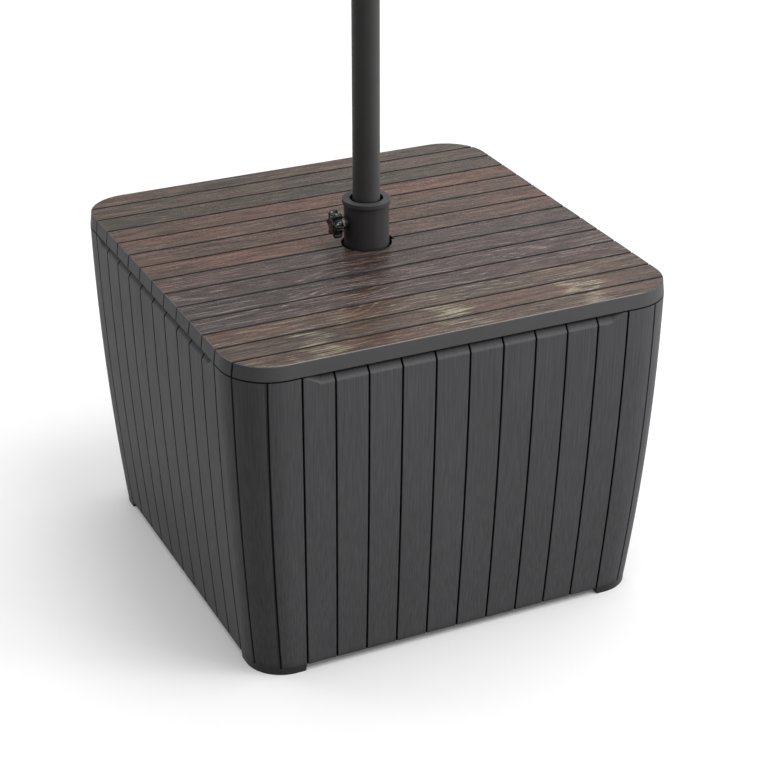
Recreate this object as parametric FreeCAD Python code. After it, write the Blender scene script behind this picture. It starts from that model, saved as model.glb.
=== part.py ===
import FreeCAD, Part
import math
import os

V = FreeCAD.Vector
UP = V(0, 0, 1)

# Lid, seen from above it is a rounded square
lid_width = 580.0
lid_corner_radius = 59.0
table_height = 433.5
rim_height = 17.4
rim_draft = 2.0
rim_wall = 4.0
rim_lip = 1.2
deck_thickness = 6.0
deck_clearance = 0.2
lid_plate = 3.5
lid_rib_width = 3.0
lid_rib_count = 3
seat_ring_width = 4.0
locating_ring_width = 4.0
locating_ring_drop = 8.5
locating_clearance = 1.0
lid_hole_clearance = 3.75
hole_ring_width = 4.0
notch_width = 13.0
notch_reach = 4.0

# Planks: 14 a side, parted by 13 moulded grooves
grooves_each_way = 6
middle_plank_gain = 0.048
groove_width = 3.0
groove_depth = 2.0
groove_overrun = 1.0
corner_groove_angle = 23.9
plank_share_of_taper = 0.567

# Walls of the body, bowed and drawn in towards the floor
foot_height = 9.5
shadow_gap = 2.0
wall_thickness = 4.0
wall_draw_in = 24.0
corner_draw_in = 12.0
wall_bulge = 4.3
ledge_width = 27.0
ledge_thickness = 4.0
recess_drop = 12.0
recess_depth = 9.3
recess_end_run = 22.0
ridge_round = 8.0
recess_backing = 5.0
recess_overrun = 6.0
loft_sections = 5
cut_overrun = 1.0

# Seam where one panel's corner meets the next panel
seam_strip = 2.4
seam_turn = 36.3
seam_cut_reach = 66.0
seam_groove_width = 0.8
seam_groove_depth = 0.5
seam_flange_depth = 22.0
seam_flange_thickness = 4.0
panel_rib_depth = 14.0
panel_rib_thickness = 3.0
panel_rib_grooves = (-3, 0, 3)
seam_screw_inset = 14.0
seam_screws_per_seam = 3

# Base tray that ties the four panels together
tray_plate = 5.0
tray_clearance = 1.0
tray_lip_height = 20.0
tray_lip_thickness = 4.0
tray_rib_height = 15.0
tray_rib_thickness = 4.0
hub_radius = 80.0
hub_thickness = 12.0
tray_screw_margin = 90.0
frame_clearance = 3.0

# Feet under the four corners
foot_inset = 0.3
foot_draft = 0.5
foot_band = 30.0
foot_end_setback = 1.0
foot_end_slope = 1.0
foot_screw_turn = 26.0
foot_counterbore = 3.5

# Parasol socket: flange, tube, seat cup and top ring
pole_radius = 17.5
pole_wall = 1.6
mast_socket_radius = 16.1
mast_socket_depth = 120.0
pole_length = 870.0
pole_clearance = 0.3
plug_flange = 3.0
plug_depth = 20.0
plug_clearance = 0.1
tube_radius = 29.0
tube_wall = 2.5
collar_top = 61.0
ring_radius = 31.0
ring_bore_radius = 21.5
ring_height = 6.0
ring_spigot_depth = 14.0
ring_edge_round = 0.6
insert_clearance = 0.15
cup_floor = 6.0
cup_height = 45.0
flange_radius = 70.0
flange_thickness = 5.0
flange_bolt_circle = 50.0
flange_bolt_count = 4
drain_radius = 6.0

# Clamp screw that holds the pole
clamp_height = 32.0
stud_radius = 4.0
stud_clearance = 0.3
stud_chamfer = 0.8
boss_radius = 8.0
boss_length = 3.0
nut_flats = 13.0
nut_thickness = 6.5
clamp_nut_thickness = 4.0
knob_gap = 1.0
knob_radius = 18.5
knob_thickness = 12.0
knob_hub_radius = 8.5
knob_hub_length = 0.5
knob_lobes = 6
scallop_radius = 7.5
scallop_centre = 20.5
knob_edge_round = 3.0
knob_socket_depth = 6.0
knob_fit = 0.05
cap_radius = 8.0
cap_thickness = 2.3
cap_recess = 1.5
cap_edge_round = 0.7

# Fasteners
screw_radius = 2.0
screw_head_radius = 4.2
screw_head_height = 2.5
screw_clearance = 0.15
tray_screw_length = 8.5
foot_screw_length = 9.5
deck_screw_head_radius = 7.5
deck_boss_radius = 5.0
deck_boss_clearance = 0.3
deck_screw_depth = 6.0
bolt_radius = 4.0
bolt_head_height = 5.3
washer_radius = 8.0
washer_thickness = 1.6

# Heights worked out from the sizes above
wall_bottom = foot_height
lid_top = table_height
rim_bottom = lid_top - rim_height
wall_top = rim_bottom - shadow_gap
wall_top_half_width = lid_width / 2 + rim_draft
wall_top_corner_radius = lid_corner_radius + rim_draft
wall_bottom_half_width = wall_top_half_width - wall_draw_in
wall_bottom_corner_radius = wall_top_corner_radius - corner_draw_in
deck_bottom = lid_top - deck_thickness
plate_bottom = deck_bottom - lid_plate
ridge = rim_bottom - recess_drop
tray_bottom = wall_bottom + ledge_thickness
tray_top = tray_bottom + tray_plate
hub_top = tray_bottom + hub_thickness
flange_top = hub_top + flange_thickness
pole_bottom = flange_top + cup_floor
tube_top = lid_top + collar_top - ring_height
clamp_axis = lid_top + clamp_height
lid_hole_radius = tube_radius + lid_hole_clearance
tube_bore_radius = tube_radius - tube_wall
locating_half_width = wall_top_half_width - ledge_width - locating_clearance
locating_corner_radius = wall_top_corner_radius - ledge_width - locating_clearance
lid_rib_end = locating_half_width - locating_ring_width / 2
lid_rib_spacing = 2 * lid_rib_end / (lid_rib_count + 1)
tray_screw_spacing = wall_bottom_half_width - ledge_width - tray_screw_margin


def turned(x, y, z, quarters):
    """A point turned about the upright axis by quarter turns."""
    for _ in range(quarters % 4):
        x, y = -y, x
    return V(x, y, z)


def rounded_square(half, radius, z):
    """Closed outline of a square with rounded corners, centred on the pole."""
    flat = half - radius
    bend = flat + radius * math.sqrt(0.5)
    edges = []
    for side in range(4):
        start = turned(-flat, -half, z, side)
        end = turned(flat, -half, z, side)
        middle = turned(bend, -bend, z, side)
        next_start = turned(half, -flat, z, side)
        edges.append(Part.LineSegment(start, end).toShape())
        edges.append(Part.Arc(end, middle, next_start).toShape())
    return Part.Wire(edges)


def square_prism(half, radius, z_low, z_high):
    face = Part.Face(rounded_square(half, radius, z_low))
    return face.extrude(UP * (z_high - z_low))


def square_ring(half, radius, width, z_low, z_high):
    outer = square_prism(half, radius, z_low, z_high)
    return outer.cut(square_prism(half - width, radius - width, z_low, z_high))


def disc(radius, z_low, z_high, x=0.0, y=0.0):
    return Part.makeCylinder(radius, z_high - z_low, V(x, y, z_low))


def box(x_low, x_high, y_low, y_high, z_low, z_high):
    size = (x_high - x_low, y_high - y_low, z_high - z_low)
    return Part.makeBox(*size, V(x_low, y_low, z_low))


def polygon_prism(points, z_low, z_high):
    wire = Part.makePolygon([V(x, y, z_low) for x, y in points + points[:1]])
    return Part.Face(wire).extrude(UP * (z_high - z_low))


def hexagon(flats, z_low, z_high, x=0.0, y=0.0):
    reach = flats / math.sqrt(3)
    corners = [math.radians(60 * i) for i in range(6)]
    points = [(x + reach * math.cos(a), y + reach * math.sin(a)) for a in corners]
    return polygon_prism(points, z_low, z_high)


def height_share(z):
    return (z - wall_bottom) / (wall_top - wall_bottom)


def wall_half_width(z):
    """Half width of the body, a bowed line from the floor end to the lid end."""
    share = height_share(z)
    chord = wall_bottom_half_width + share * (wall_top_half_width - wall_bottom_half_width)
    return chord + 4 * wall_bulge * share * (1 - share)


def wall_corner_radius(z):
    gain = wall_top_corner_radius - wall_bottom_corner_radius
    return wall_bottom_corner_radius + height_share(z) * gain


def steps(low, high, count=loft_sections):
    return [low + (high - low) * i / (count - 1) for i in range(count)]


def body_loft(inset, z_low, z_high):
    """Smooth solid inside the walls' outer face, drawn in by inset."""
    wires = []
    for z in steps(z_low, z_high):
        half = wall_half_width(z) - inset
        wires.append(rounded_square(half, wall_corner_radius(z) - inset, z))
    return Part.makeLoft(wires, True, False)


def last_groove():
    """Distance from the middle of a side to its outermost groove, at the lid."""
    angle = math.radians(corner_groove_angle)
    flat = wall_top_half_width - wall_top_corner_radius
    return flat + wall_top_corner_radius * math.sin(angle)


def groove_place(k):
    """Distance from the middle of a side to groove k; the middle planks are wider."""
    share = abs(k) / grooves_each_way
    place = last_groove() * share * (1 + middle_plank_gain * (1 - share))
    return math.copysign(place, k) if k else 0.0


def plank_narrowing(z):
    return 1 - plank_share_of_taper * (1 - wall_half_width(z) / wall_top_half_width)


def vee(x, y, z, inward, width, depth):
    """Level triangle that cuts a groove at a surface point, pointing inward."""
    along = V(-inward.y, inward.x, 0)
    reach = width / 2 * (depth + groove_overrun) / depth
    base = V(x, y, z) - inward * groove_overrun
    tip = V(x, y, z) + inward * depth
    return Part.makePolygon([base - along * reach, base + along * reach, tip, base - along * reach])


def front_vee(k, z, inset=0.0):
    x = groove_place(k) * plank_narrowing(z)
    return vee(x, inset - wall_half_width(z), z, V(0, 1, 0), groove_width, groove_depth)


def corner_vee(side, angle, z, width, depth):
    """Groove triangle on the front-left (-1) or front-right (+1) corner."""
    radius = wall_corner_radius(z)
    flat = wall_half_width(z) - radius
    outward = V(side * math.sin(angle), -math.cos(angle), 0)
    point = V(side * flat, -flat, z) + outward * radius
    return vee(point.x, point.y, z, outward * -1, width, depth)


def loft(wires, ruled=False):
    return Part.makeLoft(wires, True, ruled)


def recess_slope(z):
    """How far the finger recess is drawn in from the wall at height z."""
    return recess_depth * (z - ridge) / recess_drop


def recess_section(inset, x, out):
    """Outline of the scoop at a place along the side, moved out by out; its ridge is rounded."""
    outer = inset - out - wall_half_width(ridge)
    slant = math.atan2(recess_depth, recess_drop)
    run = ridge_round * math.tan(slant / 2)
    top = rim_bottom + recess_overrun
    far = outer - recess_overrun
    low = V(x, outer, ridge - run)
    bend = V(x, outer + ridge_round * (1 - math.cos(slant / 2)), low.z + ridge_round * math.sin(slant / 2))
    start = V(x, outer + run * math.sin(slant), ridge + run * math.cos(slant))
    corners = [start, V(x, outer + recess_slope(top), top), V(x, far, top), V(x, far, low.z), low]
    edges = [Part.Arc(low, bend, start).toShape()]
    for first, second in zip(corners, corners[1:]):
        edges.append(Part.LineSegment(first, second).toShape())
    return Part.Wire(edges)


def recess_cutter(inset):
    """Wedge that scoops the wall's top edge between the fifth grooves."""
    end = groove_place(grooves_each_way - 1)
    full = end - recess_end_run
    places = ((-end, recess_depth), (-full, 0), (full, 0), (end, recess_depth))
    return loft([recess_section(inset, x, out) for x, out in places], True)


def seam_angle_of_strip(z):
    return math.radians(corner_groove_angle) + seam_strip / wall_corner_radius(z)


def seam_point(z):
    radius = wall_corner_radius(z)
    flat = wall_half_width(z) - radius
    angle = seam_angle_of_strip(z)
    return V(-flat - radius * math.sin(angle), -flat - radius * math.cos(angle), 0)


def seam_lines():
    """Level lines along the front-left seam's upright plane, inward, and square to it."""
    turn = math.radians(seam_turn)
    inward = V(math.sin(turn), math.cos(turn), 0)
    return inward, V(inward.y, -inward.x, 0)


def seam_angle(z):
    """Angle on the corner where the seam plane meets the wall at height z."""
    normal = seam_lines()[1]
    radius = wall_corner_radius(z)
    flat = wall_half_width(z) - radius
    offset = normal.dot(seam_point(wall_top) - V(-flat, -flat, 0)) / radius
    tilt = math.atan2(normal.x, normal.y)
    return tilt - math.acos(-offset)


def seam_slab(quarters, n_low, n_high, z_low, z_high):
    """Upright slab beside the seam plane, measured along its normal."""
    point = seam_point(wall_top)
    inward, normal = seam_lines()
    far = seam_cut_reach
    corners = []
    for u, n in ((-far, n_low), (far, n_low), (far, n_high), (-far, n_high)):
        spot = point + inward * u + normal * n
        spot = turned(spot.x, spot.y, 0, quarters)
        corners.append((spot.x, spot.y))
    return polygon_prism(corners, z_low, z_high)


def panel_sector():
    """Upright block that holds one wall and the corner at its right end."""
    point = seam_point(wall_top)
    inward = seam_lines()[0]
    left = point - inward * seam_cut_reach
    right = turned(left.x, left.y, 0, 1)
    meet = inward.dot(turned(point.x, point.y, 0, 1) - point)
    inner = point + inward * meet
    corners = [(left.x, left.y), (inner.x, inner.y), (right.x, right.y), (right.x, left.y)]
    return polygon_prism(corners, wall_bottom - cut_overrun, lid_top)


def seam_screw_heights():
    low = tray_top + tray_lip_height
    spacing = (wall_top - low) / seam_screws_per_seam
    return [low + spacing * (i + 0.5) for i in range(seam_screws_per_seam)]


def seam_screw_spots():
    """Points on the seam plane where a screw joins the two flanges."""
    inward = seam_lines()[0]
    spots = []
    for z in seam_screw_heights():
        wall = corner_point_on_seam(z)
        spots.append(wall + inward * seam_screw_inset + UP * z)
    return spots


def corner_point_on_seam(z):
    radius = wall_corner_radius(z)
    flat = wall_half_width(z) - radius
    angle = seam_angle(z)
    return V(-flat - radius * math.sin(angle), -flat - radius * math.cos(angle), 0)


def turn_shape(shape, quarters):
    copy = shape.copy()
    copy.rotate(V(0, 0, 0), UP, 90 * quarters)
    return copy


def tray_screw_places():
    """Screw places along the front side; the other sides repeat them."""
    inset = wall_half_width(tray_bottom) - ledge_width / 2 - wall_thickness / 2
    return [(x, -inset) for x in (-tray_screw_spacing, 0.0, tray_screw_spacing)]


def foot_screw_places():
    """Two screw places on the front-right corner, either side of its diagonal."""
    radius = wall_bottom_corner_radius
    flat = wall_bottom_half_width - radius
    places = []
    for turn in (-foot_screw_turn, foot_screw_turn):
        angle = math.radians(45 + turn)
        reach = radius - foot_band / 2
        places.append((flat + reach * math.sin(angle), -flat - reach * math.cos(angle)))
    return places


def make_panel():
    """Front wall with the front-right corner: shell, flanges, ribs, recess and grooves."""
    outer = body_loft(0, wall_bottom, wall_top)
    inner = body_loft(wall_thickness, wall_bottom + ledge_thickness, wall_top - ledge_thickness)
    opening_low = wall_bottom_half_width - ledge_width
    opening_high = wall_top_half_width - ledge_width
    low_radius = wall_bottom_corner_radius - ledge_width
    high_radius = wall_top_corner_radius - ledge_width
    under = wall_bottom - cut_overrun
    over = wall_top + cut_overrun
    bottom_opening = square_prism(opening_low, low_radius, under, wall_bottom + 2 * ledge_thickness)
    top_opening = square_prism(opening_high, high_radius, wall_top - 2 * ledge_thickness, over)
    sector = panel_sector()
    skin = outer.cut([inner, bottom_opening, top_opening]).common(sector)

    clear = tray_top + tray_lip_height + frame_clearance
    top = wall_top - ledge_thickness / 2
    thick_wall = outer.cut(body_loft(seam_flange_depth, wall_bottom, wall_top))
    ribbed_wall = outer.cut(body_loft(panel_rib_depth, wall_bottom, wall_top))
    extras = [recess_cutter(recess_backing).common(outer)]
    extras.append(thick_wall.common(seam_slab(0, 0, seam_flange_thickness, clear, top)))
    extras.append(thick_wall.common(seam_slab(1, -seam_flange_thickness, 0, clear, top)))
    for k in panel_rib_grooves:
        x = groove_place(k) * plank_narrowing(wall_bottom)
        slab = box(x - panel_rib_thickness / 2, x + panel_rib_thickness / 2, -lid_width, 0, clear, top)
        extras.append(ribbed_wall.common(slab))

    low = wall_bottom - 2 * groove_overrun
    high = wall_top + 2 * groove_overrun
    cuts = [recess_cutter(0)]
    for k in range(1 - grooves_each_way, grooves_each_way):
        in_recess = abs(k) < grooves_each_way - 1
        cuts.append(loft([front_vee(k, z) for z in steps(low, ridge if in_recess else high)]))
        if in_recess:
            slope = [front_vee(k, ridge), front_vee(k, high, recess_slope(high))]
            cuts.append(loft(slope, True))
    angle = math.radians(corner_groove_angle)
    for side in (-1, 1):
        wires = [corner_vee(side, angle, z, groove_width, groove_depth) for z in steps(low, high)]
        cuts.append(loft(wires))
    for quarters in (0, 1):
        wires = []
        for z in steps(low, high):
            wires.append(corner_vee(-1, seam_angle(z), z, seam_groove_width, seam_groove_depth))
        cuts.append(turn_shape(loft(wires), quarters))

    normal = seam_lines()[1]
    hole = screw_radius + screw_clearance
    for spot in seam_screw_spots():
        start = spot - normal * 2 * seam_flange_thickness
        drill = Part.makeCylinder(hole, 4 * seam_flange_thickness, start, normal)
        cuts.append(drill)
        cuts.append(turn_shape(drill, 1))
    for x, y in tray_screw_places():
        cuts.append(disc(hole, under, tray_bottom + cut_overrun, x, y))
    for x, y in foot_screw_places():
        drill = disc(hole, under, tray_bottom + cut_overrun, x, y)
        cuts.append(drill)
        cuts.append(turn_shape(drill, 3))
    return skin.fuse(extras).cut(cuts).removeSplitter()


def make_tray():
    """Floor of the body: plate with an upright edge, ribs and the hub under the socket."""
    inset = wall_thickness + tray_clearance
    half = wall_half_width(tray_bottom) - inset
    radius = wall_corner_radius(tray_bottom) - inset
    tray = square_prism(half, radius, tray_bottom, tray_top)
    lip_top = tray_top + tray_lip_height
    inner_half = wall_bottom_half_width - ledge_width
    inner_radius = wall_bottom_corner_radius - ledge_width
    lip = square_ring(inner_half, inner_radius, tray_lip_thickness, tray_bottom, lip_top)
    hub = disc(hub_radius, tray_bottom, hub_top)
    ribs = []
    straight = inner_half - tray_lip_thickness / 2
    diagonal = math.sqrt(2) * (inner_half - inner_radius) + inner_radius - tray_lip_thickness / 2
    side = tray_rib_thickness / 2
    for turn in range(8):
        length = diagonal if turn % 2 else straight
        rib = box(hub_radius - side, length, -side, side, tray_bottom, tray_top + tray_rib_height)
        rib.rotate(V(0, 0, 0), UP, 45 * turn)
        ribs.append(rib)
    tray = tray.fuse([lip, hub] + ribs)
    under = tray_bottom - cut_overrun
    cuts = [disc(drain_radius, under, hub_top + cut_overrun)]
    hole = screw_radius + screw_clearance
    for side in range(4):
        for x, y in tray_screw_places():
            spot = turned(x, y, 0, side)
            cuts.append(disc(hole, under, tray_top + cut_overrun, spot.x, spot.y))
    for x, y in flange_bolt_places():
        cuts.append(disc(bolt_radius + stud_clearance, under, hub_top + cut_overrun, x, y))
        pocket_top = tray_bottom + nut_thickness
        cuts.append(hexagon(nut_flats + 2 * stud_clearance, under, pocket_top, x, y))
    return tray.cut(cuts).removeSplitter()


def make_foot():
    """Pad under the front-right corner, with sloped ends and a slight draft."""
    wires = []
    for z, inset in ((0.0, foot_inset + foot_draft), (foot_height, foot_inset)):
        half = wall_bottom_half_width - inset
        wires.append(rounded_square(half, wall_bottom_corner_radius - inset, z))
    inner_half = wall_bottom_half_width - foot_band
    over = foot_height + cut_overrun
    inner = square_prism(inner_half, wall_bottom_corner_radius - foot_band, -cut_overrun, over)
    ring = loft(wires, True).cut(inner)
    start = groove_place(grooves_each_way - 1) * plank_narrowing(wall_bottom) + foot_end_setback
    far = wall_bottom_half_width + foot_band
    corner = []
    for z, shift in ((0.0, foot_end_slope), (foot_height, 0.0)):
        near = start + shift
        points = [V(near, -near, z), V(far, -near, z), V(far, -far, z), V(near, -far, z), V(near, -near, z)]
        corner.append(Part.makePolygon(points))
    foot = ring.common(loft(corner, True))
    cuts = []
    for x, y in foot_screw_places():
        cuts.append(disc(screw_radius + screw_clearance, -cut_overrun, over, x, y))
        cuts.append(disc(screw_head_radius + screw_clearance, -cut_overrun, foot_counterbore, x, y))
    return foot.cut(cuts)


def rim_outline(z):
    """Half width and corner radius of the lid's rim at height z."""
    grow = rim_draft * (lid_top - z) / rim_height
    return lid_width / 2 + grow, lid_corner_radius + grow


def rim_vee(k, z):
    """Groove triangle on the right side of the rim, in line with deck groove k."""
    half, radius = rim_outline(z)
    flat = half - radius
    y = groove_place(k)
    over = max(abs(y) - flat, 0) / radius
    outward = V(math.sqrt(1 - over * over), math.copysign(over, y), 0)
    x = flat + radius * outward.x if over else half
    return vee(x, y, z, outward * -1, groove_width, groove_depth)


def deck_groove(k):
    """Straight groove across the lid's top face."""
    half = groove_width / 2 * (groove_depth + groove_overrun) / groove_depth
    y = groove_place(k)
    top = lid_top + groove_overrun
    points = [(y - half, top), (y + half, top), (y, lid_top - groove_depth), (y - half, top)]
    wire = Part.makePolygon([V(-lid_width, a, b) for a, b in points])
    return Part.Face(wire).extrude(V(2 * lid_width, 0, 0))


def lid_groove_range():
    return range(-grooves_each_way, grooves_each_way + 1)


def lid_hole(z_low, z_high):
    """Round hole for the socket tube with the notch on its right side."""
    reach = lid_hole_radius + notch_reach
    notch = box(0, reach, -notch_width / 2, notch_width / 2, z_low, z_high)
    return disc(lid_hole_radius, z_low, z_high).fuse(notch)


def deck_screw_places():
    """One screw in the middle of each bay between the lid's ribs."""
    middles = [lid_rib_spacing * (i + 0.5) - lid_rib_end for i in range(lid_rib_count + 1)]
    return [(x, y) for x in middles for y in middles]


def make_deck():
    """Brown plank panel that lies in the frame, with screw bosses below."""
    half = lid_width / 2 - rim_lip - deck_clearance
    deck = square_prism(half, lid_corner_radius - rim_lip - deck_clearance, deck_bottom, lid_top)
    boss_end = plate_bottom + deck_clearance
    bosses = [disc(deck_boss_radius, boss_end, deck_bottom, x, y) for x, y in deck_screw_places()]
    cuts = [lid_hole(plate_bottom, lid_top + cut_overrun)]
    cuts += [deck_groove(k) for k in lid_groove_range()]
    for x, y in deck_screw_places():
        end = plate_bottom + deck_screw_depth + screw_clearance
        cuts.append(disc(screw_radius + screw_clearance, boss_end - cut_overrun, end, x, y))
    return deck.fuse(bosses).cut(cuts)


def make_lid_frame():
    """Graphite rim and ribbed plate under the deck, with the ring that finds the body."""
    frame = loft([rounded_square(*rim_outline(z), z) for z in (rim_bottom, lid_top)], True)
    half, radius = rim_outline(lid_top)
    over = lid_top + cut_overrun
    under = rim_bottom - cut_overrun
    rebate = square_prism(half - rim_lip, radius - rim_lip, deck_bottom, over)
    half, radius = rim_outline(plate_bottom)
    hollow = square_prism(half - rim_wall, radius - rim_wall, under, plate_bottom)
    frame = frame.cut([rebate, hollow])
    opening = wall_top_half_width - ledge_width
    opening_radius = wall_top_corner_radius - ledge_width
    seat = opening + seat_ring_width * 2
    seat_radius = opening_radius + seat_ring_width * 2
    find = locating_half_width
    find_radius = locating_corner_radius
    adds = [square_ring(seat, seat_radius, seat_ring_width, wall_top, plate_bottom)]
    find_bottom = wall_top - locating_ring_drop
    adds.append(square_ring(find, find_radius, locating_ring_width, find_bottom, plate_bottom))
    ring = disc(lid_hole_radius + notch_reach + hole_ring_width, rim_bottom, plate_bottom)
    adds.append(ring)
    side = lid_rib_width / 2
    for i in range(lid_rib_count):
        place = lid_rib_spacing * (i + 1) - lid_rib_end
        adds.append(box(-lid_rib_end, lid_rib_end, place - side, place + side, rim_bottom, plate_bottom))
        adds.append(box(place - side, place + side, -lid_rib_end, lid_rib_end, rim_bottom, plate_bottom))
    cuts = [lid_hole(under, lid_top)]
    cuts += [deck_groove(k) for k in lid_groove_range()]
    for k in lid_groove_range():
        rim_groove = loft([rim_vee(k, under), rim_vee(k, over)], True)
        cuts.append(rim_groove)
        cuts.append(turn_shape(rim_groove, 2))
    for x, y in deck_screw_places():
        boss_hole = deck_boss_radius + deck_boss_clearance
        cuts.append(disc(boss_hole, plate_bottom - cut_overrun, deck_bottom + cut_overrun, x, y))
    return frame.fuse(adds).cut(cuts).removeSplitter()


def flange_bolt_places():
    places = []
    for i in range(flange_bolt_count):
        angle = math.radians(360 / flange_bolt_count * (i + 0.5))
        places.append((flange_bolt_circle * math.cos(angle), flange_bolt_circle * math.sin(angle)))
    return places


def make_flange():
    flange = disc(flange_radius, hub_top, flange_top)
    under = hub_top - cut_overrun
    over = flange_top + cut_overrun
    cuts = [disc(drain_radius, under, over)]
    for x, y in flange_bolt_places():
        cuts.append(disc(bolt_radius + stud_clearance, under, over, x, y))
    return flange.cut(cuts)


def clamp_turned(shape):
    """Lays a piece built along +Z on the clamp's axis, which points to -X."""
    laid = shape.copy()
    laid.rotate(V(0, 0, 0), V(0, 1, 0), -90)
    laid.translate(V(0, 0, clamp_axis))
    return laid


def make_tube():
    tube = disc(tube_radius, flange_top, tube_top).cut(disc(tube_bore_radius, flange_top, tube_top))
    return tube.cut(clamp_turned(disc(stud_radius + stud_clearance, pole_radius, 2 * tube_radius)))


def make_cup():
    """Seat at the tube's foot that centres the pole."""
    top = flange_top + cup_height
    cup = disc(tube_bore_radius - insert_clearance, flange_top, top)
    bore = disc(pole_radius + pole_clearance, pole_bottom, top + cut_overrun)
    return cup.cut([bore, disc(drain_radius, flange_top - cut_overrun, top)])


def make_ring():
    """Guide ring on the tube's top, with a spigot inside the tube."""
    top = tube_top + ring_height
    cap = disc(ring_radius, tube_top, top)
    rims = [e for e in cap.Edges if isinstance(e.Curve, Part.Circle)]
    cap = cap.makeFillet(ring_edge_round, rims)
    spigot = disc(tube_bore_radius - insert_clearance, tube_top - ring_spigot_depth, tube_top)
    return cap.fuse(spigot).cut(disc(ring_bore_radius, tube_top - ring_spigot_depth, top))


def make_boss():
    boss = disc(boss_radius, tube_bore_radius, tube_radius + boss_length)
    boss = boss.cut(disc(stud_radius + stud_clearance, 0, 2 * tube_radius))
    return clamp_turned(boss).cut(disc(tube_radius, lid_top, tube_top + ring_height))


def nut_outer():
    return tube_radius + boss_length + clamp_nut_thickness


def make_clamp_nut():
    nut = hexagon(nut_flats, tube_radius + boss_length, nut_outer())
    return clamp_turned(nut.cut(disc(stud_radius + stud_clearance, 0, 2 * tube_radius)))


def knob_inner():
    return nut_outer() + knob_gap


def make_stud():
    tip = pole_radius + pole_clearance
    stud = disc(stud_radius, tip, knob_inner() + knob_socket_depth)
    ends = [e for e in stud.Edges if isinstance(e.Curve, Part.Circle)]
    return clamp_turned(stud.makeChamfer(stud_chamfer, ends))


def knob_outer():
    return knob_inner() + knob_hub_length + knob_thickness


def make_knob():
    """Star knob: scalloped disc with rounded rims, hub, stud socket and cap recess."""
    low = knob_inner() + knob_hub_length
    high = knob_outer()
    star = disc(knob_radius, low, high)
    rims = [e for e in star.Edges if isinstance(e.Curve, Part.Circle)]
    star = star.makeFillet(knob_edge_round, rims)
    cuts = []
    for i in range(knob_lobes):
        angle = math.radians(360 / knob_lobes * i)
        x = scallop_centre * math.cos(angle)
        y = scallop_centre * math.sin(angle)
        cuts.append(disc(scallop_radius, low - cut_overrun, high + cut_overrun, x, y))
    socket_end = knob_inner() + knob_socket_depth + knob_fit
    cuts.append(disc(stud_radius + knob_fit, knob_inner() - cut_overrun, socket_end))
    cuts.append(disc(cap_radius + insert_clearance, high - cap_recess, high + cut_overrun))
    hub = disc(knob_hub_radius, knob_inner(), low + cut_overrun)
    return clamp_turned(star.fuse(hub).cut(cuts))


def make_cap():
    low = knob_outer() - cap_recess
    cap = disc(cap_radius, low, low + cap_thickness)
    rims = [e for e in cap.Edges if isinstance(e.Curve, Part.Circle)]
    outer_rim = [e for e in rims if e.CenterOfMass.z > low + cap_recess]
    return clamp_turned(cap.makeFillet(cap_edge_round, outer_rim))


def make_pole():
    """Lower mast tube, reamed at its top for the upper mast's spigot."""
    low = pole_bottom + plug_flange
    high = pole_bottom + pole_length
    bore = disc(pole_radius - pole_wall, low, high)
    socket = disc(mast_socket_radius, high - mast_socket_depth, high)
    return disc(pole_radius, low, high).cut(bore.fuse(socket))


def make_plug():
    low = pole_bottom + plug_flange
    head = disc(pole_radius, pole_bottom, low)
    return head.fuse(disc(pole_radius - pole_wall - plug_clearance, low, low + plug_depth))


def make_screw(length, head_radius=screw_head_radius):
    """Screw with its head's seat at the origin, pointing down."""
    shank = disc(screw_radius, -length, 0)
    return disc(head_radius, 0, screw_head_height).fuse(shank)


def placed(shape, point):
    copy = shape.copy()
    copy.translate(point)
    return copy


def make_seam_screws():
    normal = seam_lines()[1]
    screw = make_screw(2 * seam_flange_thickness)
    screw.Placement = FreeCAD.Placement(V(0, 0, 0), FreeCAD.Rotation(UP, normal))
    screws = []
    for spot in seam_screw_spots():
        for quarters in range(4):
            screws.append(turn_shape(placed(screw, spot + normal * seam_flange_thickness), quarters))
    return screws


def make_tray_screws():
    screw = make_screw(tray_screw_length)
    spots = [turned(x, y, tray_top, side) for side in range(4) for x, y in tray_screw_places()]
    return [placed(screw, spot) for spot in spots]


def make_foot_screws():
    screw = make_screw(foot_screw_length)
    screw.rotate(V(0, 0, 0), V(1, 0, 0), 180)
    spots = [turned(x, y, foot_counterbore, side) for side in range(4) for x, y in foot_screw_places()]
    return [placed(screw, spot) for spot in spots]


def make_deck_screws():
    screw = make_screw(deck_screw_depth, deck_screw_head_radius)
    screw.rotate(V(0, 0, 0), V(1, 0, 0), 180)
    return [placed(screw, V(x, y, plate_bottom)) for x, y in deck_screw_places()]


def make_flange_bolts():
    """Hex bolts that hold the flange on the hub, head up on a washer."""
    seat = flange_top + washer_thickness
    bolts = []
    for x, y in flange_bolt_places():
        shank = disc(bolt_radius, tray_bottom, seat, x, y)
        bolts.append(hexagon(nut_flats, seat, seat + bolt_head_height, x, y).fuse(shank))
    return bolts


def make_flange_washers():
    washers = []
    for x, y in flange_bolt_places():
        ring = disc(washer_radius, flange_top, flange_top + washer_thickness, x, y)
        hole = disc(bolt_radius + stud_clearance, flange_top, flange_top + washer_thickness, x, y)
        washers.append(ring.cut(hole))
    return washers


def make_flange_nuts():
    high = tray_bottom + nut_thickness
    nuts = []
    for x, y in flange_bolt_places():
        nut = hexagon(nut_flats, tray_bottom, high, x, y)
        nuts.append(nut.cut(disc(bolt_radius + screw_clearance, tray_bottom, high, x, y)))
    return nuts


def export(name, shape):
    if isinstance(shape, list):
        shape = Part.makeCompound(shape)
    shape.exportStep("parts/" + name + ".step")


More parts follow.
